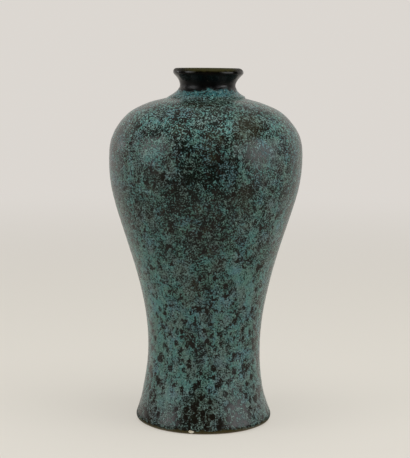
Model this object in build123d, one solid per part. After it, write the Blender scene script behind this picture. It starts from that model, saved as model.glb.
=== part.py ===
from build123d import *
import math
import os

# A meiping vase in glazed stoneware: millimetres and degrees, +Z up, the front at -Y.
# The origin is the middle of the ring on which the foot stands.
# Every piece is turned about Z, so shapes are drawn as sections, by radius and height.

# Body outline, over both glaze coats
foot_radius = 48.4
foot_edge_radius = 3.3
foot_edge_turn = 15.0
waist_radius = 39.8
waist_height = 54.0
belly_radius = 68.0
belly_rise = 134.0
shoulder_rise = 41.75
shoulder_end_slope = 15.0
flare_shares = [(0.21, 0.415), (0.50, 0.775), (0.76, 0.956)]
flank_shares = [(0.22, 0.1), (0.48, 0.41), (0.735, 0.792), (0.86, 0.946)]
shoulder_shares = [(0.36, 0.052), (0.62, 0.222), (0.805, 0.45), (0.922, 0.715)]

# Neck and mouth outline, over the dark base coat
throat_radius = 19.15
throat_rise = 8.1
neck_flare = 8.25
neck_foot_slope = 27.0
neck_step_height = 0.65
neck_step_width = 0.8
mouth_rise = 11.5
lip_overhang = 5.25
lip_roll_radius = 2.45
lip_under_angle = 45.0
neck_foot_shares = [(0.21, 0.37), (0.56, 0.83)]
neck_top_shares = [(0.48, 0.24)]

# Clay
wall_thickness = 4.5
neck_wall = 3.35
floor_thickness = 8.0
floor_corner_radius = 12.0
bore_rise = 2.5
ring_width = 7.0
ring_inner_round = 1.0
recess_height = 6.0
recess_corner_radius = 2.5

# Luting seams: a groove round the lower body's rim, and a spigot under the neck
slip_thickness = 0.4
belly_seam_height = 120.0
groove_depth = 2.0
groove_width_share = 0.5
spigot_wall = 3.0

# Glaze
base_coat = 0.4
top_coat = 0.35
inner_coat = 0.4
base_coat_end_angle = -60.0
top_coat_end_angle = -10.0
top_coat_neck_drop = 2.0
underside_glaze_clearance = 1.6

# The chip knocked out of the foot's edge, left of the front
chip_bearing = 10.6
chip_angle = -16.0
chip_ball_radius = 2.0
chip_depth = 1.5

# How finely curves are followed, and how far cuts run past what they cut
inset_steps = 48
halvings = 40
same_place = 0.0001
overrun = 2.0

straight_out = 0.0
straight_up = 90.0
straight_in = 180.0


def at(radius, height):
    """A point of the section."""
    return Vector(radius, 0, height)


def heading(angle):
    """The direction in the section that turns up from straight out by an angle."""
    return Vector(math.cos(math.radians(angle)), 0, math.sin(math.radians(angle)))


def between(low, high, shares):
    """Points between two others, by shares of the rise and of the way in or out."""
    return [at(low.X + (high.X - low.X) * out, low.Z + (high.Z - low.Z) * up) for up, out in shares]


def arc(centre, radius, start, end):
    """A round stretch about a centre, from one heading to another."""
    angles = [start, (start + end) / 2, end]
    return ThreePointArc(*[centre + heading(angle) * radius for angle in angles])


def inset(curve, depth, start=0, end=1):
    """A rising curve moved towards the axis by a depth, from one share of its length to another."""
    points = []
    for step in range(inset_steps + 1):
        share = start + (end - start) * step / inset_steps
        along = curve % share
        points.append(curve @ share - Vector(along.Z, 0, -along.X) * depth)
    return Spline(*points, tangents=[curve % start, curve % end])


def share_at_height(curve, height):
    """The share of its length at which a rising curve reaches a height."""
    low, high = 0, 1
    for _ in range(halvings):
        middle = (low + high) / 2
        if (curve @ middle).Z < height:
            low = middle
        else:
            high = middle
    return low


def section(*stops):
    """A flat face whose border runs through edges and points in turn, by straight lines between them."""
    border = []
    first = here = None
    for stop in stops:
        ends = [stop, stop] if isinstance(stop, Vector) else [stop @ 0, stop @ 1]
        if here is None:
            first = ends[0]
        else:
            ends.sort(key=lambda end: (end - here).length)
            if (ends[0] - here).length > same_place:
                border.append(Line(here, ends[0]))
        if not isinstance(stop, Vector):
            border.append(stop)
        here = ends[-1]
    border.append(Line(here, first))
    return make_face(border)


def turned(face):
    """The solid that a section makes when it is turned about the vase's axis."""
    return revolve(face, Axis.Z)


# Outline of the body, from the foot's rounded edge to the step under the neck
coats = base_coat + top_coat
foot_centre = at(foot_radius - foot_edge_radius, foot_edge_radius)
foot = foot_centre + heading(foot_edge_turn) * foot_edge_radius
waist = at(waist_radius, waist_height)
belly = at(belly_radius, waist_height + belly_rise)
neck_foot_radius = throat_radius + neck_flare
shoulder_end = at(neck_foot_radius + neck_step_width, belly.Z + shoulder_rise)
body_outline = Spline(
    foot,
    *between(foot, waist, flare_shares),
    waist,
    *between(waist, belly, flank_shares),
    belly,
    *between(belly, shoulder_end, shoulder_shares),
    shoulder_end,
    tangents=[heading(straight_up + foot_edge_turn), heading(straight_in - shoulder_end_slope)],
)
body_base = inset(body_outline, top_coat)
body_clay = inset(body_outline, coats)

# Outline of the neck, from its foot past the throat to the rolled lip
neck_foot = at(neck_foot_radius, shoulder_end.Z + neck_step_height)
throat = at(throat_radius, neck_foot.Z + throat_rise)
lip_radius = throat_radius + lip_overhang
lip_centre = at(lip_radius - lip_roll_radius, throat.Z + mouth_rise - lip_roll_radius)
lip_start = lip_centre + heading(-lip_under_angle) * lip_roll_radius
neck_outline = Spline(
    neck_foot,
    *between(neck_foot, throat, neck_foot_shares),
    throat,
    *between(throat, lip_start, neck_top_shares),
    lip_start,
    tangents=[heading(straight_in - neck_foot_slope), heading(straight_up - lip_under_angle)],
)
neck_clay = inset(neck_outline, base_coat)
lip_base = arc(lip_centre, lip_roll_radius, -lip_under_angle, straight_in)
lip_clay = arc(lip_centre, lip_roll_radius - base_coat, -lip_under_angle, straight_in)

# Inside of the clay: the floor's corner, the wall, the swell under the neck, the bore and the mouth
seat_height = (shoulder_end.Z + neck_foot.Z - coats - base_coat - slip_thickness) / 2
clay_bore_radius = throat_radius - base_coat - neck_wall
bore_radius = clay_bore_radius - inner_coat
bore_top = throat.Z + bore_rise
floor_height = recess_height + floor_thickness
corner_share = share_at_height(body_outline, floor_height + floor_corner_radius)
wall_inside = inset(body_outline, coats + wall_thickness, start=corner_share)
corner_top = wall_inside @ 0
floor_corner = Spline(
    at(corner_top.X - floor_corner_radius, floor_height),
    corner_top,
    tangents=[heading(straight_out), wall_inside % 0],
)
throat_swell = Spline(
    wall_inside @ 1,
    at(clay_bore_radius, seat_height),
    tangents=[wall_inside % 1, heading(straight_up)],
)
inside = [floor_corner, wall_inside, throat_swell]
mouth_base = Spline(lip_base @ 1, at(bore_radius, bore_top), tangents=[heading(-straight_up)] * 2)
mouth_clay = Spline(lip_clay @ 1, at(clay_bore_radius, bore_top), tangents=[heading(-straight_up)] * 2)

# Underside: the recess inside the foot ring
ring_inner_radius = foot_centre.X - ring_width
recess_centre = at(ring_inner_radius - recess_corner_radius, recess_height - recess_corner_radius)
ring_round_centre = at(ring_inner_radius + ring_inner_round, ring_inner_round)
recess_corner = arc(recess_centre, recess_corner_radius, straight_up, straight_out)

# The whole clay body, and the bands of slip that lute its three sections together
clay = section(
    at(0, recess_height),
    recess_corner,
    arc(ring_round_centre, ring_inner_round, straight_in, straight_in + straight_up),
    at(foot_centre.X, 0),
    arc(foot_centre, foot_edge_radius - coats, base_coat_end_angle, foot_edge_turn),
    body_clay,
    neck_clay,
    lip_clay,
    mouth_clay,
    throat_swell,
    wall_inside,
    floor_corner,
    at(0, floor_height),
)
seam_middle = (body_outline @ share_at_height(body_outline, belly_seam_height)).X - coats - wall_thickness / 2
groove_reach = wall_thickness * groove_width_share / 2
seam_in = seam_middle - wall_thickness - overrun
seam_out = seam_middle + wall_thickness + overrun
seam_line = [
    at(seam_in, belly_seam_height),
    at(seam_middle - groove_reach, belly_seam_height),
    at(seam_middle, belly_seam_height - groove_depth),
    at(seam_middle + groove_reach, belly_seam_height),
    at(seam_out, belly_seam_height),
]
slip_rise = at(0, slip_thickness)
belly_band = section(*seam_line, *[point + slip_rise for point in reversed(seam_line)])
spigot_radius = clay_bore_radius + spigot_wall
spigot_end = (wall_inside @ 1).Z - overrun
neck_band = section(
    at(spigot_radius, spigot_end),
    at(spigot_radius, seat_height + slip_thickness),
    at(shoulder_end.X + overrun, seat_height + slip_thickness),
    at(shoulder_end.X + overrun, seat_height),
    at(spigot_radius + slip_thickness, seat_height),
    at(spigot_radius + slip_thickness, spigot_end),
)
lower_face, shoulder_face, neck_face = (clay - belly_band - neck_band).faces().sort_by(Axis.Z)

# Dark base coat: from the foot's edge over the body, the neck and the lip to the top of the bore
base_face = section(
    arc(foot_centre, foot_edge_radius - top_coat, base_coat_end_angle, foot_edge_turn),
    body_base,
    neck_outline,
    lip_base,
    mouth_base,
    mouth_clay,
    lip_clay,
    neck_clay,
    body_clay,
    arc(foot_centre, foot_edge_radius - coats, base_coat_end_angle, foot_edge_turn),
)

# Mottled coat over it: from just above the foot's edge to just under the throat
top_end_share = share_at_height(neck_outline, throat.Z - top_coat_neck_drop)
top_face = section(
    arc(foot_centre, foot_edge_radius, top_coat_end_angle, foot_edge_turn),
    body_outline,
    inset(neck_outline, -top_coat, end=top_end_share),
    neck_outline.trim(0, top_end_share),
    body_base,
    arc(foot_centre, foot_edge_radius - top_coat, top_coat_end_angle, foot_edge_turn),
)

# Glaze inside, down to the floor, and on the underside within the ring
interior_face = section(
    at(0, floor_height),
    *inside,
    at(clay_bore_radius, bore_top),
    at(bore_radius, bore_top),
    *[inset(curve, inner_coat) for curve in reversed(inside)],
    at(0, floor_height + inner_coat),
)
underside_face = section(
    at(0, recess_height),
    recess_corner,
    at(ring_inner_radius, underside_glaze_clearance),
    at(ring_inner_radius - inner_coat, underside_glaze_clearance),
    arc(recess_centre, recess_corner_radius - inner_coat, straight_up, straight_out),
    at(0, recess_height - inner_coat),
)

# The chip: a shallow scoop through both coats into the clay
chip_place = foot_centre + heading(chip_angle) * (foot_edge_radius + chip_ball_radius - chip_depth)
chip = Pos(chip_place) * Sphere(chip_ball_radius)
chip = chip.rotate(Axis.Z, -straight_up - chip_bearing)

pieces = {
    "lower_body": turned(lower_face) - chip,
    "shoulder_body": turned(shoulder_face),
    "neck_and_mouth": turned(neck_face),
    "belly_seam_slip": turned(clay & belly_band),
    "neck_seam_slip": turned(clay & neck_band),
    "dark_base_glaze": turned(base_face) - chip,
    "mottled_top_glaze": turned(top_face) - chip,
    "interior_glaze": turned(interior_face),
    "underside_glaze": turned(underside_face),
}

os.makedirs("parts", exist_ok=True)
for name, piece in pieces.items():
    export_step(piece, f"parts/{name}.step")
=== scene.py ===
"""The looks of a tall meiping vase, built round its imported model: metres, +Z up, the front at -Y."""

import math

import bmesh
import bpy
import numpy as np
from mathutils import Matrix, Vector, noise

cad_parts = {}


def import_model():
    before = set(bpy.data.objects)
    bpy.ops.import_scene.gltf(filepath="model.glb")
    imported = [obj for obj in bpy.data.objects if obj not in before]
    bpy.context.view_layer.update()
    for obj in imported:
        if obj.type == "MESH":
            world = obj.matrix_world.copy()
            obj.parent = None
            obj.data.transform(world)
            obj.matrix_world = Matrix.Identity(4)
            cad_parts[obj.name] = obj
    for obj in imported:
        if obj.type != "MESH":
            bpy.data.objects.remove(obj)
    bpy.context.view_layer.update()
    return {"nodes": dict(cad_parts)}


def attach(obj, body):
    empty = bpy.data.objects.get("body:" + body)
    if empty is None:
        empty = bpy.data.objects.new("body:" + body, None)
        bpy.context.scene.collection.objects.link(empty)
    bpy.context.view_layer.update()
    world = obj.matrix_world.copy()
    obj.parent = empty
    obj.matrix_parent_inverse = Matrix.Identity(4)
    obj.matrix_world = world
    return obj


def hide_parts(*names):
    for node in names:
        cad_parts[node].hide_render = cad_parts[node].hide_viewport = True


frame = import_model()
MM = 0.001
BODY = "root"
BAKE_MAP = "OFBake"

# The photograph's frame and camera
IMAGE_HEIGHT = 458
SENSOR = 36.0
FOCAL_PIXELS = 1381.0
CAMERA_PLACE = (0.0, -970.2 * MM, 262.1 * MM)
CAMERA_PITCH = math.radians(-7.3592)
CAMERA_ROLL = math.radians(0.49956)
CENTRE_OFFSET_PIXELS = -0.15

# How the clay departs from the ideal vase: height, shift to the right, swelling and rise, in millimetres.
# The neck was set a little off the middle, and the shoulder sank a little under it.
HAND = [
    (0, -0.1, 0.05, 0), (4, -0.05, -0.05, 0), (9, -0.15, -0.15, 0), (14, -0.3, 0.15, 0), (23, -0.6, 0.25, 0),
    (32, -0.45, 0.2, 0), (49, -0.05, 0.25, 0), (67, 0.05, 0.2, 0), (93, 0, 0.25, 0), (110, -0.25, 0.12, 0),
    (127, -0.5, 0.1, 0), (150, -0.55, 0.2, 0), (170, -0.3, 0.05, 0), (187, -0.05, 0, 0), (196, 0, 0, 0),
    (205, 0.15, -0.2, 0), (213, -0.05, -0.15, 0), (221, -0.15, -0.05, -0.1), (225, -0.5, -0.2, -0.3),
    (227, -0.7, -0.35, -0.5), (229.2, -0.6, -0.6, -0.5), (230.9, 0.4, -0.75, -0.5), (233, 0.35, -0.35, -0.3),
    (235, 0.6, 0, -0.15), (237, 0.85, 0.3, 0), (240, 0.98, 0.65, 0), (244, 1.3, 0.85, 0),
    (246, 1.35, 0.75, 0), (248, 1.1, 0.3, 0), (250, 0.8, 0, 0),
]
HAND_SOFTNESS = 1.2 * MM
HAND_STEP = 0.25 * MM
# The radius from which the swelling is full
SWELLING_RADIUS = 12 * MM

# Throwing marks: ridges that climb round the wall, and waves that take it a little out of round. A wave has a
# count round the vase, the height in which it leans by one radian, and a share.
RIDGE_PITCH = 6.5 * MM
RIDGE_HEIGHT = 0.035 * MM
OUT_OF_ROUND = 0.12 * MM
WAVES = [(2, 70 * MM, 1.0), (3, -50 * MM, 0.6)]
# The radius and the height from which the throwing marks are full
THROWING_RADIUS = 30 * MM
THROWING_HEIGHT = 20 * MM

# Mesh density: columns round the vase, and the longest steps along its section
COLUMNS = 360
LINING_COLUMNS = 180
HIDDEN_COLUMNS = 120
BODY_STEP = 1.45 * MM
CLOSE_STEP = 0.7 * MM
INNER_STEP = 3.0 * MM
HIDDEN_STEP = 7.0 * MM
# How far a line may turn between two points, and how sharp a turn is a corner
LARGEST_TURN = math.radians(9)
CORNER_TURN = math.radians(32)
# Points of the CAD mesh that lie nearer than this, or that round to the same digits, are one
SAME_PLACE = 1e-7
SAME_DIGITS = 7
FINE_POINTS = 3000

# Bands of height, from and to. The dark coat shows only at the foot and at the neck.
FOOT_BAND = (-1 * MM, 9 * MM)
NECK_BAND = (227 * MM, 1.0)
EVERYWHERE = (-1.0, 1.0)

# Each piece's bake map: the square kept for the chip, how far from its middle the chip reaches in it, and how
# much room hidden strips get in the rest
CHIP_MAP_SHARE = 0.2
CHIP_MAP_REACH = 0.38
HIDDEN_MAP_SHARE = 0.02

# The mottled coat: its thickness, and how far in from its edges it thins out and follows their waves
COAT_THICKNESS = 0.35 * MM
COAT_EDGE_THICKNESS = 0.02 * MM
COAT_TAPER = 2.4 * MM
COAT_EDGE_REACH = 14 * MM
UPPER_EDGE_HEIGHT = 236.9 * MM
LOWER_EDGE_HEIGHT = 2.4 * MM
# The line that it lies on, which is the dark coat's outside: up to where it is followed, and in what steps
COAT_LINE_TOP = 243 * MM
COAT_LINE_STEP = 0.05 * MM
# The ledge at the neck's foot, which the coat fills with a small pool
LEDGE_HEIGHT = 230 * MM
LEDGE_REACH = 5 * MM
POOL_WIDTH = 0.45 * MM
# Tongues of the upper edge: azimuth right of the front and half width in degrees, rise in millimetres
UPPER_TONGUES = [
    (3, 9, 1.8), (40, 26, 1.5), (-40, 24, -1.0), (100, 26, 0.8),
    (150, 30, 1.6), (205, 24, 0.4), (255, 28, 1.4),
]
# Waves of both edges: count round the vase, height in millimetres, phase
EDGE_WAVES = [(5, 0.3, 0.4), (9, 0.22, 2.1), (17, 0.12, 4.0)]
EDGE_ATTRIBUTE = "from_edge"

# The chip in the foot's edge, left of the front: its half sizes run outward, sideways and up
CHIP_AZIMUTH = math.radians(-90 - 10.3)
CHIP_CENTRE_RADIUS = 48.6 * MM
CHIP_CENTRE_HEIGHT = 1.8 * MM
CHIP_HALF_SIZES = (1.45 * MM, 2.0 * MM, 1.45 * MM)
CHIP_SUBDIVISIONS = 4
# Its broken face: how rough it is, how fine its flakes are and their dimension, lacunarity and octaves, and
# how fine its grains are and their share
CHIP_ROUGHNESS = 0.22
CHIP_FLAKES = 1.3
CHIP_FRACTAL = (1.0, 2.2, 4)
CHIP_GRAINS = 3.1
CHIP_GRAIN_SHARE = 0.5


def new_object(name, data):
    """An object in the scene."""
    made = bpy.data.objects.new(name, data)
    bpy.context.scene.collection.objects.link(made)
    return made


def section_of(node):
    """A CAD node's section at azimuth 0: (radius, height) points anticlockwise along its border.

    The second value says whether it closes. If not, it starts and ends on the axis.
    """
    mesh = frame["nodes"][node].data
    co = np.empty(len(mesh.vertices) * 3, np.float32)
    mesh.vertices.foreach_get("co", co)
    co = co.reshape(-1, 3).astype(float)
    ends = np.empty(len(mesh.edges) * 2, np.int32)
    mesh.edges.foreach_get("vertices", ends)
    on_seam = np.nonzero((np.abs(co[:, 1]) < SAME_PLACE) & (co[:, 0] > SAME_PLACE))[0]
    place = {i: (round(co[i, 0], SAME_DIGITS), round(co[i, 2], SAME_DIGITS)) for i in on_seam}
    links = {}
    for a, b in ends.reshape(-1, 2):
        if a in place and b in place and place[a] != place[b]:
            links.setdefault(place[a], set()).add(place[b])
            links.setdefault(place[b], set()).add(place[a])
    tips = sorted(p for p, near in links.items() if len(near) == 1)
    border = [tips[0] if tips else min(links)]
    while True:
        onward = [p for p in sorted(links[border[-1]]) if p not in border[-2:]]
        if not onward or (len(border) > 2 and border[0] in onward):
            break
        border.append(onward[0])
    if tips:
        border = [(0.0, border[0][1]), *border, (0.0, border[-1][1])]
    border = np.array(border)
    onward = np.roll(border, -1, axis=0)
    area = np.sum(border[:, 0] * onward[:, 1] - border[:, 1] * onward[:, 0])
    return (border if area > 0 else border[::-1]), not tips


def gaps_of(line):
    """The distance from each point of a line to the next."""
    return np.hypot(*np.diff(line, axis=0).T)


def added_up(gaps):
    """How far along its line each point lies."""
    return np.concatenate([[0], np.cumsum(gaps)])


def points_at(places, along, line):
    """A line's points at places along it."""
    return np.column_stack([np.interp(places, along, line[:, k]) for k in range(line.shape[1])])


def turns(points):
    """How far a line turns at each of its inner points, in radians."""
    steps = np.diff(points, axis=0)
    return np.abs(np.diff(np.unwrap(np.arctan2(steps[:, 1], steps[:, 0]))))


def runs_of(border, closed):
    """A border cut at its corners into smooth runs."""
    if closed:
        around = np.vstack([border[-1:], border, border[:1]])
        border = np.roll(border, -np.nonzero(turns(around) > CORNER_TURN)[0][0], axis=0)
        border = np.vstack([border, border[:1]])
    corners = np.nonzero(turns(border) > CORNER_TURN)[0] + 1
    stops = [0, *corners, len(border) - 1]
    return [border[a:b + 1] for a, b in zip(stops, stops[1:])]


def smooth_line(run, shares):
    """Points of a smooth curve through a run, at shares of its length."""
    if len(run) < 3:
        return run[0] + (run[-1] - run[0]) * shares[:, None]
    gaps = gaps_of(run)
    along = added_up(gaps)
    slopes = np.diff(run, axis=0) / gaps[:, None]
    weight = (gaps[1:] / (gaps[:-1] + gaps[1:]))[:, None]
    inner = slopes[:-1] * weight + slopes[1:] * (1 - weight)
    tangents = np.vstack([2 * slopes[0] - inner[0], inner, 2 * slopes[-1] - inner[-1]])
    at = shares * along[-1]
    k = np.clip(np.searchsorted(along, at, side="right") - 1, 0, len(gaps) - 1)
    gap = gaps[k][:, None]
    t = ((at - along[k]) / gaps[k])[:, None]
    ends = run[k] * (1 + 2 * t) * (1 - t) ** 2 + run[k + 1] * t * t * (3 - 2 * t)
    return ends + gap * t * (1 - t) * (tangents[k] * (1 - t) - tangents[k + 1] * t)


def in_bands(heights, bands):
    """Which heights lie in one of the bands."""
    return np.any([(heights > low) & (heights < high) for low, high in bands], axis=0)


def step_by_height(bands, inside, outside=HIDDEN_STEP):
    """The longest step at each point: one within bands of height, another elsewhere."""
    return lambda points: np.where(in_bands(points[:, 1], bands), inside, outside)


def even_shares(run, step_at):
    """Shares of a run whose points lie no further apart than step_at says, and closer where it turns."""
    even = np.linspace(0, 1, FINE_POINTS)
    fine = smooth_line(run, even)
    lengths = gaps_of(fine) / step_at(fine[1:])
    turned = np.concatenate([[0], turns(fine)]) / LARGEST_TURN
    measure = added_up(lengths + turned)
    return np.interp(np.linspace(0, measure[-1], max(2, math.ceil(measure[-1]) + 1)), measure, even)


def hump(value, middle, half_width):
    """A smooth hump: 1 at the middle, 0 past the half width."""
    return np.cos(np.clip((value - middle) / half_width, -1, 1) * math.pi / 2) ** 2


def eased(share):
    """0 to 1 with level ends."""
    share = np.clip(share, 0, 1)
    return share * share * (3 - 2 * share)


def softened(line, width, step):
    """A line of evenly spaced points without its sharp turns."""
    reach = int(4 * width / step)
    kernel = np.exp(-0.5 * (np.arange(-reach, reach + 1) * step / width) ** 2)
    kernel /= kernel.sum()
    padded = np.vstack([2 * line[0] - line[reach:0:-1], line, 2 * line[-1] - line[-2:-reach - 2:-1]])
    return np.column_stack([np.convolve(padded[:, k], kernel, "valid") for k in range(line.shape[1])])


def thrown(points):
    """Points of the ideal vase, moved to where they lie on the hand-made one."""
    x, y, z = points.T
    azimuth, radius = np.arctan2(y, x), np.hypot(x, y)
    heights, shifts, swellings, rises = np.array(HAND).T * MM
    even = np.arange(heights[0], heights[-1] + HAND_STEP, HAND_STEP)
    table = points_at(even, heights, np.column_stack([swellings, rises]))
    swelling, rise = points_at(z, even, softened(table, HAND_SOFTNESS, HAND_STEP)).T
    ridges = RIDGE_HEIGHT * (np.sin(azimuth + z / RIDGE_PITCH * math.tau) - 1)
    waves = sum(share * (np.sin(count * azimuth + z / lean) - 1) for count, lean, share in WAVES)
    grown = (ridges + OUT_OF_ROUND * waves) * eased(radius / THROWING_RADIUS) * eased(z / THROWING_HEIGHT)
    grown += swelling * eased(radius / SWELLING_RADIUS)
    scale = 1 + grown / np.maximum(radius, MM)
    return np.column_stack([x * scale + np.interp(z, heights, shifts), y * scale, np.maximum(z + rise, 0)])


def bake_heights(rows, bands):
    """The height in the bake map of each row's line, by length, with little room outside the bands."""
    middles = np.array([row.mean(axis=0) for row in rows])
    seen = in_bands((middles[:-1, 1] + middles[1:, 1]) / 2, bands)
    reached = added_up(gaps_of(middles) * np.where(seen, 1, HIDDEN_MAP_SHARE))
    return CHIP_MAP_SHARE + (1 - CHIP_MAP_SHARE) * reached / reached[-1]


def revolved(name, rows, closed, bands):
    """A closed mesh of a section's rows, each (columns, 2), turned about Z.

    A row on the axis becomes a pole. The bands of height are those that show.
    """
    if closed:
        rows = [*rows, rows[0]]
    columns = len(rows[0])
    angle = np.arange(columns) * math.tau / columns
    verts, starts, pole = [], [], []
    for row in rows[:-1] if closed else rows:
        ring = np.column_stack([row[:, 0] * np.cos(angle), row[:, 0] * np.sin(angle), row[:, 1]])
        pole.append(bool(row[:, 0].max() < SAME_PLACE))
        starts.append(sum(map(len, verts)))
        verts.append(ring[:1] if pole[-1] else ring)
    if closed:
        starts.append(0)
        pole.append(False)
    heights = bake_heights(rows, bands)
    faces, places = [], []
    for k in range(len(rows) - 1):
        a, b = starts[k], starts[k + 1]
        low, high = heights[k], heights[k + 1]
        for i in range(columns):
            j = (i + 1) % columns
            left, right = i / columns, (i + 1) / columns
            if pole[k]:
                faces.append((a, b + j, b + i))
                places += [(left, low), (right, high), (left, high)]
            elif pole[k + 1]:
                faces.append((a + i, a + j, b))
                places += [(left, low), (right, low), (left, high)]
            else:
                faces.append((a + i, a + j, b + j, b + i))
                places += [(left, low), (right, low), (right, high), (left, high)]
    mesh = bpy.data.meshes.new(name)
    mesh.from_pydata(thrown(np.vstack(verts)).tolist(), [], faces)
    layer = mesh.uv_layers.new(name=BAKE_MAP)
    layer.data.foreach_set("uv", np.array(places, np.float32).ravel())
    mesh.update()
    return mesh


def as_piece(name, mesh, node, material):
    """A piece that rides on the body and stands for a CAD node."""
    piece = new_object(name, mesh)
    mesh.materials.append(material)
    mesh.polygons.foreach_set("use_smooth", [True] * len(mesh.polygons))
    mesh.set_sharp_from_angle(angle=CORNER_TURN)
    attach(piece, BODY)
    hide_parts(node)
    return piece


def section_rows(node, columns, step_at):
    """The rows of a whole section, alike in every column, and whether it closes."""
    border, closed = section_of(node)
    points = []
    for run in runs_of(border, closed):
        points.append(smooth_line(run, even_shares(run, step_at))[:-1])
    if not closed:
        points.append(border[-1:])
    return [np.tile(point, (columns, 1)) for point in np.vstack(points)], closed


def dark_coat_line():
    """Evenly spaced points up the dark coat's outside to above the throat, and how far along they lie."""
    border, _ = section_of("dark_base_glaze")
    border = np.roll(border, -border[:, 1].argmin(), axis=0)
    above = np.nonzero(border[:, 1] > COAT_LINE_TOP)[0][0]
    fine = [smooth_line(run, np.linspace(0, 1, FINE_POINTS)) for run in runs_of(border[:above], False)]
    line = np.vstack([fine[0], *[run[1:] for run in fine[1:]]])
    along = added_up(gaps_of(line))
    even = np.arange(0, along[-1], COAT_LINE_STEP)
    return points_at(even, along, line), even


def coat_edges():
    """The heights of the mottled coat's lower and upper edge in each column."""
    front = (np.arange(COLUMNS) * 360 / COLUMNS + 90) % 360
    lower = np.full(COLUMNS, LOWER_EDGE_HEIGHT)
    upper = np.full(COLUMNS, UPPER_EDGE_HEIGHT)
    for azimuth, half_width, rise in UPPER_TONGUES:
        away = (front - azimuth + 180) % 360 - 180
        upper += rise * MM * hump(away, 0, half_width)
    for count, height, phase in EDGE_WAVES:
        upper += height * MM * np.sin(np.radians(front) * count + phase)
        lower += height * MM * np.sin(np.radians(front) * count + phase * 2)
    return lower, upper


def mottled_coat_rows():
    """Rows of the mottled coat, outside and then inside, and how far they are from its nearer edge."""
    line, even = dark_coat_line()
    soft = softened(line, POOL_WIDTH, COAT_LINE_STEP)
    surface = line + (soft - line) * hump(line[:, 1], LEDGE_HEIGHT, LEDGE_REACH)[:, None]
    ahead = np.gradient(soft, axis=0)
    normal = np.column_stack([ahead[:, 1], -ahead[:, 0]]) / np.hypot(*ahead.T)[:, None]
    foot, top = (np.interp(level, line[:, 1], even) for level in coat_edges())
    first, last = foot.mean(), top.mean()
    shown = line[(even > first) & (even < last)]
    outer = even_shares(shown, step_by_height([NECK_BAND], CLOSE_STEP, BODY_STEP))
    inner = even_shares(shown[::-1], step_by_height([EVERYWHERE], HIDDEN_STEP))
    rows, distances = [], []
    for stops, base, side in (
        (first + (last - first) * outer, surface, 1),
        (last + (first - last) * inner, line, 0),
    ):
        for stop in stops:
            at = stop + (foot - first) * eased(1 - (stop - first) / COAT_EDGE_REACH)
            at = at + (top - last) * eased(1 - (last - stop) / COAT_EDGE_REACH)
            distance = np.minimum(at - foot, top - at)
            taper = eased(distance / COAT_TAPER)
            thick = COAT_EDGE_THICKNESS + (COAT_THICKNESS - COAT_EDGE_THICKNESS) * taper
            raised = (side * thick)[:, None] * points_at(at, even, normal)
            rows.append(points_at(at, even, base) + raised)
            distances.append(distance)
    return rows, distances


def chip_cutter(material):
    """The rough scoop that the chip left, as a closed mesh to be cut away."""
    bm = bmesh.new()
    bmesh.ops.create_icosphere(bm, subdivisions=CHIP_SUBDIVISIONS, radius=1)
    for vert in bm.verts:
        flakes = noise.fractal(vert.co * CHIP_FLAKES, *CHIP_FRACTAL)
        grains = CHIP_GRAIN_SHARE * abs(noise.noise(vert.co * CHIP_GRAINS))
        vert.co *= 1 + CHIP_ROUGHNESS * (flakes + grains)
    layer = bm.loops.layers.uv.new(BAKE_MAP)
    for face in bm.faces:
        face.smooth = False
        for loop in face.loops:
            loop[layer].uv = [CHIP_MAP_SHARE * (0.5 + CHIP_MAP_REACH * loop.vert.co[k]) for k in (1, 2)]
    centre = Vector((math.cos(CHIP_AZIMUTH), math.sin(CHIP_AZIMUTH), 0)) * CHIP_CENTRE_RADIUS
    centre.z = CHIP_CENTRE_HEIGHT
    turn = Matrix.Rotation(CHIP_AZIMUTH, 4, "Z")
    bm.transform(Matrix.Translation(centre) @ turn @ Matrix.Diagonal((*CHIP_HALF_SIZES, 1)))
    mesh = bpy.data.meshes.new("chip_cutter")
    bm.to_mesh(mesh)
    bm.free()
    mesh.materials.append(material)
    return new_object("chip_cutter", mesh)


def chip(piece, cutter):
    """Cuts the chip out of a piece, and keeps the result as its mesh."""
    cut = piece.modifiers.new("chip", "BOOLEAN")
    cut.operation = "DIFFERENCE"
    cut.solver = "EXACT"
    cut.material_mode = "TRANSFER"
    cut.object = cutter
    bpy.context.view_layer.update()
    made = bpy.data.meshes.new_from_object(piece.evaluated_get(bpy.context.evaluated_depsgraph_get()))
    piece.modifiers.clear()
    piece.data = made
    made.set_sharp_from_angle(angle=CORNER_TURN)


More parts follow.
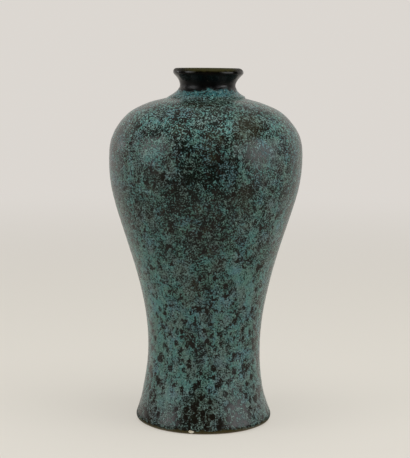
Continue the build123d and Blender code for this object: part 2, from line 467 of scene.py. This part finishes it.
class Nodes:
    """The nodes of a material or world, built by short calls."""

    def __init__(self, owner):
        owner.use_nodes = True
        self.owner = owner
        self.tree = owner.node_tree
        self.tree.nodes.clear()

    def node(self, kind, **settings):
        made = self.tree.nodes.new(kind)
        for name, value in settings.items():
            setattr(made, name, value)
        return made

    def feed(self, socket, value):
        """Links a socket to another one, or sets its own value."""
        if isinstance(value, bpy.types.NodeSocket):
            self.tree.links.new(value, socket)
        elif isinstance(value, tuple) and socket.type == "RGBA":
            socket.default_value = (*value, 1)
        else:
            socket.default_value = value

    def vector(self, operation, a, b=None, scale=None, output="Vector"):
        """A vector operation. DISTANCE and LENGTH put their result in the output Value."""
        made = self.node("ShaderNodeVectorMath", operation=operation)
        self.feed(made.inputs[0], a)
        if b is not None:
            self.feed(made.inputs[1], b)
        if scale is not None:
            self.feed(made.inputs["Scale"], scale)
        return made.outputs[output]

    def math(self, operation, a, b=0.0, clamp=False):
        made = self.node("ShaderNodeMath", operation=operation, use_clamp=clamp)
        self.feed(made.inputs[0], a)
        self.feed(made.inputs[1], b)
        return made.outputs[0]

    def step(self, value, low, high, to=(0.0, 1.0), kind="SMOOTHSTEP"):
        """The value's way from low to high, as 0 to 1 or as the two ends of to."""
        made = self.node("ShaderNodeMapRange", interpolation_type=kind)
        for socket, given in zip(made.inputs, (value, low, high, *to)):
            self.feed(socket, given)
        return made.outputs[0]

    def mix(self, share, a, b):
        """A colour from a to b."""
        made = self.node("ShaderNodeMix", data_type="RGBA")
        for index, given in ((0, share), (6, a), (7, b)):
            self.feed(made.inputs[index], given)
        return made.outputs[2]


class Paint(Nodes):
    """A material of the vase. Sizes and places are in millimetres."""

    def __init__(self, name):
        super().__init__(bpy.data.materials.new(name))
        coordinates = self.node("ShaderNodeTexCoord").outputs["Object"]
        self.place = self.vector("SCALE", coordinates, scale=1 / MM)
        split = self.node("ShaderNodeSeparateXYZ")
        self.feed(split.inputs[0], self.place)
        self.right, self.back, self.height = split.outputs

    def plus(self, a, b):
        return self.math("ADD", a, b)

    def less(self, a, b):
        return self.math("SUBTRACT", a, b)

    def times(self, a, b):
        return self.math("MULTIPLY", a, b)

    def larger(self, a, b):
        return self.math("MAXIMUM", a, b)

    def by_height(self, low, high, to=(0.0, 1.0)):
        """A number that changes with height."""
        return self.step(self.height, low, high, to)

    def noise(self, size, detail=2.0, rough=0.5, place=None, shift=None, colour=False):
        """A noise about 0.5. A shift keeps it from falling together with another."""
        place = self.place if place is None else place
        if shift is not None:
            place = self.vector("ADD", place, shift)
        made = self.node("ShaderNodeTexNoise")
        for name, value in (("Vector", place), ("Scale", 1 / size), ("Detail", detail), ("Roughness", rough)):
            self.feed(made.inputs[name], value)
        return made.outputs["Color" if colour else "Fac"]

    def swing(self, weight, size, **kind):
        """A noise that swings about 0, times a weight."""
        return self.times(self.plus(self.noise(size, **kind), -0.5), weight)

    def cells(self, size, place=None):
        """The distance to the nearest of scattered points, in shares of their spacing."""
        made = self.node("ShaderNodeTexVoronoi")
        self.feed(made.inputs["Vector"], self.place if place is None else place)
        self.feed(made.inputs["Scale"], 1 / size)
        return made.outputs["Distance"]

    def upright(self, share, place=None):
        """The place with its height cut to a share, which draws patterns out upright."""
        return self.vector("MULTIPLY", self.place if place is None else place, (1, 1, share))

    def warped(self, size, reach, detail=1.0):
        """The place moved about by a noise of one size, by up to a reach."""
        push = self.vector("SUBTRACT", self.noise(size, detail, colour=True), (0.5, 0.5, 0.5))
        return self.vector("ADD", self.place, self.vector("SCALE", push, scale=reach * 2))

    def near(self, place, x, z, half_width, half_height):
        """1 at a spot of the front and 0 a little past its half sizes, however deep the place lies."""
        flat = self.vector("MULTIPLY", place, (1 / half_width, 0, 1 / half_height))
        spot = (x / half_width, 0, z / half_height)
        return self.step(self.vector("DISTANCE", flat, spot, output="Value"), *MARK_FADE)

    def bumped(self, height, depth, before=None):
        """Normals from a height from 0 to 1 that stands for a depth in millimetres."""
        made = self.node("ShaderNodeBump")
        self.feed(made.inputs["Height"], height)
        self.feed(made.inputs["Distance"], depth * MM)
        if before is not None:
            self.feed(made.inputs["Normal"], before)
        return made.outputs[0]

    def finish(self, colour, roughness, normal, gloss=0.5):
        """The finished material. Gloss is the shader's specular level."""
        shader = self.node("ShaderNodeBsdfPrincipled")
        for name, value in (("Base Color", colour), ("Roughness", roughness), ("Normal", normal)):
            self.feed(shader.inputs[name], value)
        shader.inputs["Specular IOR Level"].default_value = gloss
        self.feed(self.node("ShaderNodeOutputMaterial").inputs[0], shader.outputs[0])
        return self.owner


# Colours of the dark glaze, of the glass between the specks, and of the specks
NECK_BLACK = (0.0008, 0.0009, 0.0008)
NECK_BROWN = (0.0040, 0.0030, 0.0024)
THIN_OLIVE = (0.024, 0.021, 0.003)
THIN_BROWN = (0.050, 0.038, 0.005)
SPOT_BLACK = (0.0074, 0.0058, 0.0034)
DARK_GROUND = (0.0036, 0.0058, 0.0036)
BROWN_GROUND = (0.0110, 0.0085, 0.0060)
OLIVE_GROUND = (0.0180, 0.0175, 0.0090)
GREEN_TEAL = (0.059, 0.143, 0.113)
TEAL = (0.050, 0.158, 0.144)
BLUE_TEAL = (0.063, 0.155, 0.171)
GREY_SPECK = (0.095, 0.117, 0.107)
BROWN_SPECK = (0.056, 0.060, 0.040)
PALE_SPECK = (0.200, 0.315, 0.285)
DEEP_TEAL = (0.016, 0.100, 0.112)
# Colours of the lining: where it ran together, where it is thin, and in its pores
LINING_THICK = (0.022, 0.015, 0.009)
LINING_THIN = (0.075, 0.048, 0.026)
LINING_PORE = (0.008, 0.006, 0.005)
# The clays: pale and dark colour, and the grain's size in millimetres
BARE_CLAY = ((0.46, 0.36, 0.24), (0.33, 0.235, 0.14), 0.5)
BROKEN_CLAY = ((0.92, 0.88, 0.76), (0.80, 0.73, 0.58), 0.35)
SLIP_CLAY = ((0.50, 0.42, 0.30), (0.40, 0.32, 0.21), 0.3)
IRON_SPECK = (0.09, 0.045, 0.02)
SAND_SHADE = 0.62

DARK_GLOSS = 0.24
MOTTLED_GLOSS = 0.42
# Roughness, from the smoothest to the roughest spots, and what the lip and the foot add to the dark glaze's
DARK_ROUGHNESS = (0.08, 0.18)
MOTTLED_ROUGHNESS = (0.25, 0.30)
LINING_ROUGHNESS = (0.18, 0.34)
CLAY_ROUGHNESS = (0.72, 0.92)
LIP_ROUGHER = 0.34
FOOT_ROUGHER = 0.14
# Depth of relief, in millimetres
DARK_WAVES = 0.03
MOTTLED_WAVES = 0.05
SPECK_RELIEF = 0.11
LINING_WAVES = 0.06
CLAY_RELIEF = 0.05

# What changes with height: from and to height in millimetres, and its values there
NECK_ROUGHER = (244, 240, (0.0, 0.22))
SPOT_LEVEL = (185, 85, (0.66, 0.60))
PIT_SIZE = (120, 45, (0.12, 0.36))
SPECKS_COARSE = (204, 216)
SPECKS_MORE = (185, 75, (-0.005, 0.075))
SPECKS_FEWER = (16, 3, (0.0, -0.10))
SPECKS_FULL = (196, 214, (0.66, 0.59))
SPECKS_PALER = (192, 212, (0.0, 0.05))
SPECKS_GREYER = (40, 8, (0.0, 0.5))
POOL_RISE = (227.5, 231)
EDGE_RAGGEDNESS = (20, 200, (7, 9))
EDGE_START = (20, 200, (0.5, 2.6))

# The dark glaze's thin edges: the heights between which it thins out, and how far its streaks move them
LIP_THINS = (248.4, 250.4)
LIP_STREAKS = 2.5
FOOT_THINS = (11.0, 4.0)
FOOT_STREAKS = 6.0
# The olive of the lip: how far right its middle lies, and between which distances from there it strengthens,
# from a share to all
OLIVE_MIDDLE = 2.5
OLIVE_GAINS = (20, 13, (0.2, 1.0))
# The mottled glaze's edge: how softly it melts, and how near to it the pool at the neck lies, in millimetres
EDGE_MELT = (-0.9, 0.9)
POOL_REACH = (14, 5)

# Levels of a noise between which one look turns into another, and how far it does where that isn't wholly
BROAD = (0.3, 0.7)
NECK_BROWNS = (0.35, 0.7)
GREENS = (0.42, 0.58)
BLUES = (0.52, 0.66)
GREYS = (0.56, 0.34, (0.05, 0.60))
PALES = (0.52, 0.70, (0.0, 0.6))
POOL_STROKES = (0.40, 0.60, (0.0, 0.85))
GROUND_BROWNS = (0.44, 0.60)
GROUND_OLIVES = (0.58, 0.72)
SANDS = (0.35, 0.7, (0.0, 0.45))
SPOT_EDGE = (-0.03, 0.05)
# The same for the distance to the nearest of scattered points
PIT_EDGE = (0.04, -0.10)
PORES = (0.16, 0.08)
IRON_SPECKS = (0.13, 0.05, (0.0, 0.7))

# The speckle: the grains' size in millimetres, and the sum of the levels at which they start and are full
GRAIN_SIZE = 0.95
SPECK_LEVELS = 1.075
# Its clouds: size in millimetres, share of height that draws them out upright, weight
SPECK_CLOUDS = [(3.0, 1.0, 0.34), (7.0, 0.7, 0.34), (28.0, 0.6, 0.16)]
COARSE_SIZE = 1.9
COARSE_WEIGHT = 0.55
# How many specks a dark spot takes away, the spots' size, and the spacing of the round pits among them
SPOT_EMPTINESS = 0.22
SPOT_SIZE = 4.0
PIT_SPACING = 5.4

# Soft marks on the front: how far right of the middle and how high they lie, half width and half height in
# millimetres, how many more specks they hold, how brown they are. Most mark the glaze itself; two are painted
# light, whose added specks stand in for a highlight and a reflection at the vase's left edge
SPECK_MARKS_AND_HIGHLIGHTS = [
    (2, 226, 20, 4, -0.05, 0.4), (8, 217, 16, 6, -0.01, 0.0), (28, 211, 11, 11, -0.02, 0.8),
    # painted highlight: the mark at (-37, 194) adds specks where a lamp's highlight lies on the belly's left
    (14, 213, 4, 6, 0.06, 0.0), (-37, 216, 10, 6, 0.10, 0.0), (-37, 194, 7, 9, 0.07, 0.0),
    (44, 206, 8, 10, 0.04, 0.0), (-3, 189, 18, 18, -0.12, 0.0), (-15, 167, 12, 16, -0.10, 0.1),
    (25, 167, 9, 9, -0.04, 0.5), (8, 166, 8, 9, -0.06, 0.0), (-34, 177, 8, 10, -0.07, 0.3),
    (32, 192, 9, 9, -0.03, 0.3), (50, 165, 8, 40, 0.02, 0.0), (21, 116, 9, 15, 0.04, 0.0),
    (-17, 112, 7, 15, 0.03, 0.0), (0, 143, 14, 16, -0.08, 0.0), (-26, 140, 8, 18, -0.06, 0.0),
    # painted reflection: the mark at (-33, 90) adds specks where the pale backdrop is reflected at the
    # waist's left edge
    (-33, 90, 6, 24, 0.07, 0.0), (-2, 98, 9, 18, -0.06, 0.0), (30, 102, 8, 11, 0.03, 0.0),
    (-26, 62, 10, 14, 0.07, 0.0), (-1, 62, 8, 22, -0.06, 0.0), (-12, 44, 6, 12, 0.09, 0.0),
    (-30, 24, 10, 10, 0.04, 0.0), (-1, 16, 16, 13, -0.08, 0.4), (26, 22, 12, 12, -0.03, 0.0),
]
# Where a mark ends and where it is full, in shares of its half sizes
MARK_FADE = (1.35, 0.35)
# Where the marks have faded and where they are full, in millimetres behind the axis
FRONT_FADE = (0.0, -10.0)

# The brown run above the chip, in millimetres: how far left of the middle it lies, how far it wanders,
# between which distances from its middle and which heights it gains strength, and its fade as for the marks
RUN_ASIDE = 9.0
RUN_WANDER = 1.6
RUN_WIDTH = (1.1, 0.3)
RUN_START = (12.0, 9.0)
RUN_FADE = (0.0, -1.0)


def dark_finish(paint):
    """Colour, roughness and normals of the brown-black glaze, olive or brown where it thins over an edge."""
    clouds = paint.noise(7, detail=3, rough=0.6)
    streaks = paint.noise(3, detail=3, rough=0.6, place=paint.upright(0.4))
    lip = paint.step(paint.plus(paint.height, paint.times(streaks, LIP_STREAKS)), *LIP_THINS)
    foot = paint.step(paint.plus(paint.height, paint.times(streaks, FOOT_STREAKS)), *FOOT_THINS)
    aside = paint.math("ABSOLUTE", paint.plus(paint.right, -OLIVE_MIDDLE))
    olive = paint.times(lip, paint.step(aside, *OLIVE_GAINS))
    colour = paint.mix(paint.step(clouds, *NECK_BROWNS), NECK_BLACK, NECK_BROWN)
    colour = paint.mix(olive, colour, THIN_OLIVE)
    colour = paint.mix(foot, colour, THIN_BROWN)
    streaked = paint.step(streaks, *BROAD, to=DARK_ROUGHNESS)
    thinned = paint.plus(paint.times(lip, LIP_ROUGHER), paint.times(foot, FOOT_ROUGHER))
    roughness = paint.plus(paint.plus(streaked, paint.by_height(*NECK_ROUGHER)), thinned)
    return colour, roughness, paint.bumped(paint.noise(1.8), DARK_WAVES)


def dark_glaze():
    paint = Paint("dark_glaze")
    return paint.finish(*dark_finish(paint), gloss=DARK_GLOSS)


def dark_spots(paint):
    """Ragged dark spots, longer than wide, that crowd the lower half and are rare above."""
    ragged = paint.upright(0.75, paint.warped(2.2, 0.9, detail=2))
    spots = paint.noise(SPOT_SIZE, place=ragged)
    torn = paint.step(paint.less(spots, paint.by_height(*SPOT_LEVEL)), *SPOT_EDGE)
    middles = paint.cells(PIT_SPACING, place=ragged)
    pits = paint.step(paint.less(middles, paint.by_height(*PIT_SIZE)), *PIT_EDGE)
    return paint.larger(paint.larger(torn, pits), run_mark(paint))


def marks_and_highlights(paint):
    """How many more specks the front's soft marks hold and how brown they are; two are painted light."""
    place = paint.warped(7, 3.5, detail=2)
    front = paint.step(paint.back, *FRONT_FADE)
    more, brown = 0.0, 0.0
    for x, z, half_width, half_height, extra, browner in SPECK_MARKS_AND_HIGHLIGHTS:
        inside = paint.near(place, x, z, half_width, half_height)
        more = paint.plus(more, paint.times(inside, extra))
        brown = paint.plus(brown, paint.times(inside, browner))
    return paint.times(more, front), paint.times(brown, front)


def run_mark(paint):
    """The narrow brown run in the glaze above the chip."""
    aside = paint.plus(paint.right, paint.times(paint.noise(1.5), RUN_WANDER))
    narrow = paint.step(paint.math("ABSOLUTE", paint.plus(aside, RUN_ASIDE)), *RUN_WIDTH)
    low = paint.times(narrow, paint.by_height(*RUN_START))
    return paint.times(low, paint.step(paint.back, *RUN_FADE))


def speckle(paint, spots, more):
    """How thick the blue-green specks stand, from none to full."""
    grain = paint.plus(paint.noise(GRAIN_SIZE, detail=1, rough=0.7, place=paint.warped(4, 0.6)), more)
    coarse = paint.swing(paint.by_height(*SPECKS_COARSE), COARSE_SIZE, detail=1, rough=0.6)
    grain = paint.plus(grain, paint.times(coarse, COARSE_WEIGHT))
    for size, upright, weight in SPECK_CLOUDS:
        cloud = paint.swing(weight, size, detail=1, rough=0.7, place=paint.upright(upright))
        grain = paint.plus(grain, cloud)
    grain = paint.plus(grain, paint.by_height(*SPECKS_MORE))
    grain = paint.plus(grain, paint.by_height(*SPECKS_FEWER))
    grain = paint.less(grain, paint.times(spots, SPOT_EMPTINESS))
    full = paint.by_height(*SPECKS_FULL)
    return paint.step(grain, paint.less(SPECK_LEVELS, full), full)


def speck_colour(paint, pool, brown):
    """Teal that leans to green, blue, grey or brown in clouds, with paler grains, and deep where it pools."""
    greens = paint.noise(9, rough=0.6)
    blues = paint.noise(12, rough=0.6, shift=(91, 37, 15))
    greys = paint.noise(10, rough=0.6, place=paint.upright(0.6), shift=(7, 31, 57))
    grains = paint.noise(1.2, detail=1, rough=0.7, shift=(17, 5, 83))
    grains = paint.plus(grains, paint.by_height(*SPECKS_PALER))
    colour = paint.mix(paint.step(greens, *GREENS), GREEN_TEAL, TEAL)
    colour = paint.mix(paint.step(blues, *BLUES), colour, BLUE_TEAL)
    colour = paint.mix(paint.step(greys, *GREYS), colour, GREY_SPECK)
    colour = paint.mix(paint.by_height(*SPECKS_GREYER), colour, GREY_SPECK)
    colour = paint.mix(brown, colour, BROWN_SPECK)
    colour = paint.mix(paint.times(pool, 0.8), colour, DEEP_TEAL)
    return paint.mix(paint.step(grains, *PALES), colour, PALE_SPECK)


def ground_colour(paint, brown):
    """Brown-black to olive-brown glass between the specks."""
    clouds = paint.noise(11, rough=0.6, shift=(3, 71, 29))
    colour = paint.mix(paint.step(clouds, *GROUND_BROWNS), DARK_GROUND, BROWN_GROUND)
    return paint.mix(paint.larger(paint.step(clouds, *GROUND_OLIVES), brown), colour, OLIVE_GROUND)


def mottled_glaze():
    """Specks of blue-green over brown-black, which melt into the dark glaze towards the coat's edges."""
    paint = Paint("mottled_glaze")
    edge = paint.node("ShaderNodeAttribute", attribute_name=EDGE_ATTRIBUTE).outputs["Fac"]
    ragged = paint.swing(paint.by_height(*EDGE_RAGGEDNESS), 2.6, detail=3, rough=0.65)
    inside = paint.step(paint.less(paint.plus(edge, ragged), paint.by_height(*EDGE_START)), *EDGE_MELT)
    pool = paint.times(paint.by_height(*POOL_RISE), paint.step(edge, *POOL_REACH))
    more, brown = marks_and_highlights(paint)
    spots = dark_spots(paint)
    specks = speckle(paint, spots, more)
    strokes = paint.noise(1.7, rough=0.6, place=paint.upright(0.6))
    filled = paint.larger(specks, paint.times(pool, paint.step(strokes, *POOL_STROKES)))
    ground = paint.mix(spots, ground_colour(paint, brown), SPOT_BLACK)
    colour = paint.mix(filled, ground, speck_colour(paint, pool, brown))
    roughness = paint.step(specks, 0, 1, to=MOTTLED_ROUGHNESS, kind="LINEAR")
    dark_colour, dark_roughness, dark_normal = dark_finish(paint)
    colour = paint.mix(inside, dark_colour, colour)
    roughness = paint.plus(paint.times(roughness, inside), paint.times(dark_roughness, paint.less(1, inside)))
    waves = paint.bumped(paint.noise(2.6, detail=1), MOTTLED_WAVES, dark_normal)
    normal = paint.bumped(paint.times(specks, inside), SPECK_RELIEF, waves)
    return paint.finish(colour, roughness, normal, gloss=MOTTLED_GLOSS)


def lining_glaze():
    """Thin brown glaze, darker where it ran together."""
    paint = Paint("lining_glaze")
    clouds = paint.noise(9, detail=4, rough=0.6, place=paint.upright(0.5))
    colour = paint.mix(paint.step(clouds, *BROAD), LINING_THICK, LINING_THIN)
    colour = paint.mix(paint.step(paint.cells(1.6), *PORES), colour, LINING_PORE)
    roughness = paint.step(clouds, *BROAD, to=LINING_ROUGHNESS)
    return paint.finish(colour, roughness, paint.bumped(paint.noise(2.2), LINING_WAVES))


def clay(name, pale, dark, grain):
    """Fired clay with fine grain and iron specks."""
    paint = Paint(name)
    clouds = paint.noise(11, detail=3, rough=0.6)
    sand = paint.noise(grain, detail=3, rough=0.7)
    shade = tuple(c * SAND_SHADE for c in dark)
    colour = paint.mix(paint.step(clouds, *BROAD), dark, pale)
    colour = paint.mix(paint.step(sand, *SANDS), colour, shade)
    colour = paint.mix(paint.step(paint.cells(1.9), *IRON_SPECKS), colour, IRON_SPECK)
    roughness = paint.step(sand, *BROAD, to=CLAY_ROUGHNESS)
    return paint.finish(colour, roughness, paint.bumped(sand, CLAY_RELIEF))


# The pieces turned from their nodes' sections: name, node, slot, columns, the step where they show, and the
# bands of height that show
TURNED_PIECES = [
    ("dark_glaze_coat", "dark_base_glaze", "dark_glaze", COLUMNS, CLOSE_STEP, [FOOT_BAND, NECK_BAND]),
    ("lower_clay", "lower_body", "stoneware", COLUMNS, CLOSE_STEP, [FOOT_BAND]),
    ("upper_clay", "shoulder_body", "stoneware", HIDDEN_COLUMNS, HIDDEN_STEP, [EVERYWHERE]),
    ("neck_clay", "neck_and_mouth", "stoneware", HIDDEN_COLUMNS, INNER_STEP, [EVERYWHERE]),
    ("belly_slip", "belly_seam_slip", "luting_slip", HIDDEN_COLUMNS, INNER_STEP, [EVERYWHERE]),
    ("neck_slip", "neck_seam_slip", "luting_slip", HIDDEN_COLUMNS, INNER_STEP, [EVERYWHERE]),
    ("inner_lining", "interior_glaze", "lining_glaze", LINING_COLUMNS, INNER_STEP, [EVERYWHERE]),
    ("foot_lining", "underside_glaze", "lining_glaze", LINING_COLUMNS, INNER_STEP / 2, [EVERYWHERE]),
]
CHIPPED_PIECES = ("mottled_coat", "dark_glaze_coat", "lower_clay")


def mottled_coat(material):
    """The mottled coat, whose points know how many millimetres they are from its nearer edge."""
    rows, distances = mottled_coat_rows()
    mesh = revolved("mottled_coat", rows, True, [EVERYWHERE])
    edge = mesh.attributes.new(EDGE_ATTRIBUTE, "FLOAT", "POINT")
    edge.data.foreach_set("value", np.concatenate(distances) / MM)
    return as_piece("mottled_coat", mesh, "mottled_top_glaze", material)


def build_vase():
    materials = {
        "dark_glaze": dark_glaze(),
        "lining_glaze": lining_glaze(),
        "stoneware": clay("bare_clay", *BARE_CLAY),
        "luting_slip": clay("luting_slip", *SLIP_CLAY),
    }
    pieces = {}
    for name, node, slot, columns, step, bands in TURNED_PIECES:
        rows, closed = section_rows(node, columns, step_by_height(bands, step))
        pieces[name] = as_piece(name, revolved(name, rows, closed, bands), node, materials[slot])
    pieces["mottled_coat"] = mottled_coat(mottled_glaze())
    cutter = chip_cutter(clay("broken_clay", *BROKEN_CLAY))
    for name in CHIPPED_PIECES:
        chip(pieces[name], cutter)
    bpy.data.objects.remove(cutter)


# The studio: the colours of its backdrop and floor, the world's dim light, and how much the floor shines by
# itself near the vase
PALE = (0.715, 0.680, 0.640)
FLOOR = (0.688, 0.654, 0.590)
AMBIENT = 0.28
FLOOR_OWN_LIGHT = 0.68
# The distances from the vase's foot, in metres, between which the floor turns into the backdrop
FLOOR_END = (0.3, 1.6)
# The lamps, all turned to one point: name, azimuth right of the front, elevation, distance, width, height,
# radiance, colour, seen in reflections
TARGET = Vector((0, 0, 0.15))
SOFTBOXES = [
    ("left_box", -66, 18, 1.2, 0.68, 0.78, 2.6, (0.97, 0.985, 1.0), True),
    ("right_box", 66, 14, 1.2, 0.95, 0.86, 2.25, (0.96, 0.98, 1.0), True),
    ("back_box", -118, 10, 1.2, 0.20, 0.24, 2.8, (0.95, 0.98, 1.0), True),
    ("top_box", 25, 78, 1.4, 1.46, 1.46, 2.9, (1.0, 1.0, 1.0), False),
    ("left_fill", -80, 10, 1.2, 0.60, 0.80, 1.1, (0.96, 0.98, 1.0), False),
    ("right_fill", 84, 8, 1.2, 0.60, 0.80, 0.8, (0.96, 0.98, 1.0), False),
]
# Painted shade that only reflections show: sheets glowing with the colours of the studio's unlit side, and a
# dark ring round the foot for the vase's contact shadow. From and to azimuth right of the front, the distance
# and height of both edges in metres, colour
SHADED = (0.27, 0.255, 0.23)
DARK = (0.01, 0.01, 0.01)
FOOT_SHADE = (0.10, 0.09, 0.08)
UPPER_DARK = (0.28, 0.28, 0.27)
UNLIT_SHEETS = [
    ("ceiling", -180, 180, (0.01, 2.2), (1.5, 2.2), UPPER_DARK),
    ("back_wall", 112, 248, (1.5, 1.05), (1.5, 2.2), UPPER_DARK),
    # painted shadow: the vase's contact shadow, as a dark ring that glows only in reflections
    ("foot_shade", -180, 180, (0.049, MM), (0.07, MM), FOOT_SHADE),
    ("near_floor", -112, 112, (0.07, MM), (0.45, MM), SHADED),
    ("left_floor", -112, -52, (0.45, MM), (1.5, MM), SHADED),
    ("right_floor", 52, 112, (0.45, MM), (1.5, MM), SHADED),
    ("dark_floor", -52, 52, (0.45, MM), (1.5, MM), DARK),
    ("dark_wall", -112, 112, (1.5, 0.0), (1.5, 2.2), DARK),
]
# The sweep: how wide it is, where its floor ends in front and behind, its curve's radius and its height
SWEEP_HALF_WIDTH = 4.0
SWEEP_FRONT = -4.0
SWEEP_BACK = 1.6
SWEEP_CURVE = 0.9
SWEEP_HEIGHT = 3.4
CURVE_STEPS = 24


def camera():
    data = bpy.data.cameras.new("camera")
    data.sensor_width = SENSOR
    data.lens = SENSOR * FOCAL_PIXELS / IMAGE_HEIGHT
    made = new_object("camera", data)
    yaw = -math.atan(CENTRE_OFFSET_PIXELS / FOCAL_PIXELS)
    turn = Matrix.Rotation(yaw, 4, "Z") @ Matrix.Rotation(math.pi / 2 + CAMERA_PITCH, 4, "X")
    made.matrix_world = Matrix.Translation(CAMERA_PLACE) @ turn @ Matrix.Rotation(CAMERA_ROLL, 4, "Z")
    bpy.context.scene.camera = made


def softbox(name, azimuth, elevation, distance, width, height, radiance, colour, in_reflections):
    data = bpy.data.lights.new(name, "AREA")
    data.shape = "ELLIPSE"
    data.size = width
    data.size_y = height
    data.energy = math.pi * width * height * radiance
    data.color = colour
    lamp = new_object(name, data)
    around, up = math.radians(azimuth), math.radians(elevation)
    way = Vector((math.sin(around) * math.cos(up), -math.cos(around) * math.cos(up), math.sin(up)))
    lamp.location = TARGET + way * distance
    lamp.rotation_euler = (-way).to_track_quat("-Z", "Y").to_euler()
    lamp.visible_camera = False
    lamp.visible_glossy = in_reflections


class Shine(Nodes):
    """A studio surface or the world, which looks different to the rays that see it than to the light."""

    def shader(self, kind, colour, strength=None):
        made = self.node(kind)
        self.feed(made.inputs["Color"], colour)
        if strength is not None:
            self.feed(made.inputs["Strength"], strength)
        return made.outputs[0]

    def along_floor(self, near, far):
        """A number that turns from near to far where the floor turns into the backdrop."""
        place = self.node("ShaderNodeTexCoord").outputs["Object"]
        return self.step(self.vector("LENGTH", place, output="Value"), *FLOOR_END, to=(near, far))

    def seen_share(self, share):
        """The share for camera, glossy and transmission rays, and 0 for the others."""
        path = self.node("ShaderNodeLightPath")
        total = path.outputs["Is Camera Ray"]
        for name in ("Is Glossy Ray", "Is Transmission Ray"):
            total = self.math("ADD", total, path.outputs[name], clamp=True)
        return self.math("MULTIPLY", total, share)

    def finish(self, kind, share, unseen, seen):
        """Shows one shader to the light, and a share of the other one to the rays that see it."""
        mix = self.node("ShaderNodeMixShader")
        for socket, value in zip(mix.inputs, (self.seen_share(share), unseen, seen)):
            self.feed(socket, value)
        self.feed(self.node(kind).inputs[0], mix.outputs[0])


def world():
    """Pale wherever it is seen, and a dim even light on everything else."""
    made = bpy.data.worlds.new("studio")
    bpy.context.scene.world = made
    shine = Shine(made)
    ambient = shine.shader("ShaderNodeBackground", (1, 1, 1), AMBIENT)
    backdrop = shine.shader("ShaderNodeBackground", PALE)
    shine.finish("ShaderNodeOutputWorld", 1, ambient, backdrop)


def stage_surface(name, verts, faces, near, far=None):
    """A surface of the studio that shines by itself where it is seen.

    With a far colour, it turns into that away from the vase, and near the vase it shines by only a share, so
    that the vase's soft shadows fall on it.
    """
    mesh = bpy.data.meshes.new(name)
    mesh.from_pydata(verts, [], faces)
    mesh.polygons.foreach_set("use_smooth", [True] * len(faces))
    material = bpy.data.materials.new(name)
    mesh.materials.append(material)
    shine = Shine(material)
    colour, share = near, 1.0
    if far is not None:
        colour = shine.mix(shine.along_floor(0.0, 1.0), near, far)
        share = shine.along_floor(FLOOR_OWN_LIGHT, 1.0)
    diffuse = shine.shader("ShaderNodeBsdfDiffuse", colour)
    glow = shine.shader("ShaderNodeEmission", colour)
    shine.finish("ShaderNodeOutputMaterial", share, diffuse, glow)
    made = new_object(name, mesh)
    return made


def sheet_faces(count, columns):
    """Quads between columns of points, count points each."""
    return [(k * count + i, (k + 1) * count + i, (k + 1) * count + i + 1, k * count + i + 1)
            for k in range(columns - 1) for i in range(count - 1)]


def sweep():
    """Floor and backdrop in one sheet, joined by a wide curve."""
    line = [(SWEEP_FRONT, 0.0), (SWEEP_BACK, 0.0)]
    for k in range(1, CURVE_STEPS + 1):
        angle = math.pi / 2 * k / CURVE_STEPS
        line.append((SWEEP_BACK + SWEEP_CURVE * math.sin(angle), SWEEP_CURVE * (1 - math.cos(angle))))
    line.append((SWEEP_BACK + SWEEP_CURVE, SWEEP_HEIGHT))
    verts = [(x, y, z) for x in (-SWEEP_HALF_WIDTH, SWEEP_HALF_WIDTH) for y, z in line]
    stage_surface("sweep", verts, sheet_faces(len(line), 2), FLOOR, PALE)


def unlit_sheet(name, left, right, near, far, colour):
    """A curved sheet round the vase that only reflections show, glowing with its painted shade."""
    verts = []
    for k in range(CURVE_STEPS + 1):
        around = math.radians(left + (right - left) * k / CURVE_STEPS)
        verts += [(math.sin(around) * r, -math.cos(around) * r, z) for r, z in (near, far)]
    made = stage_surface(name, verts, sheet_faces(2, CURVE_STEPS + 1), colour)
    made.visible_camera = False
    made.visible_diffuse = False
    made.visible_shadow = False


build_vase()
camera()
for box in SOFTBOXES:
    softbox(*box)
world()
sweep()
for sheet in UNLIT_SHEETS:
    unlit_sheet(*sheet)
bpy.context.scene.view_settings.view_transform = "Standard"
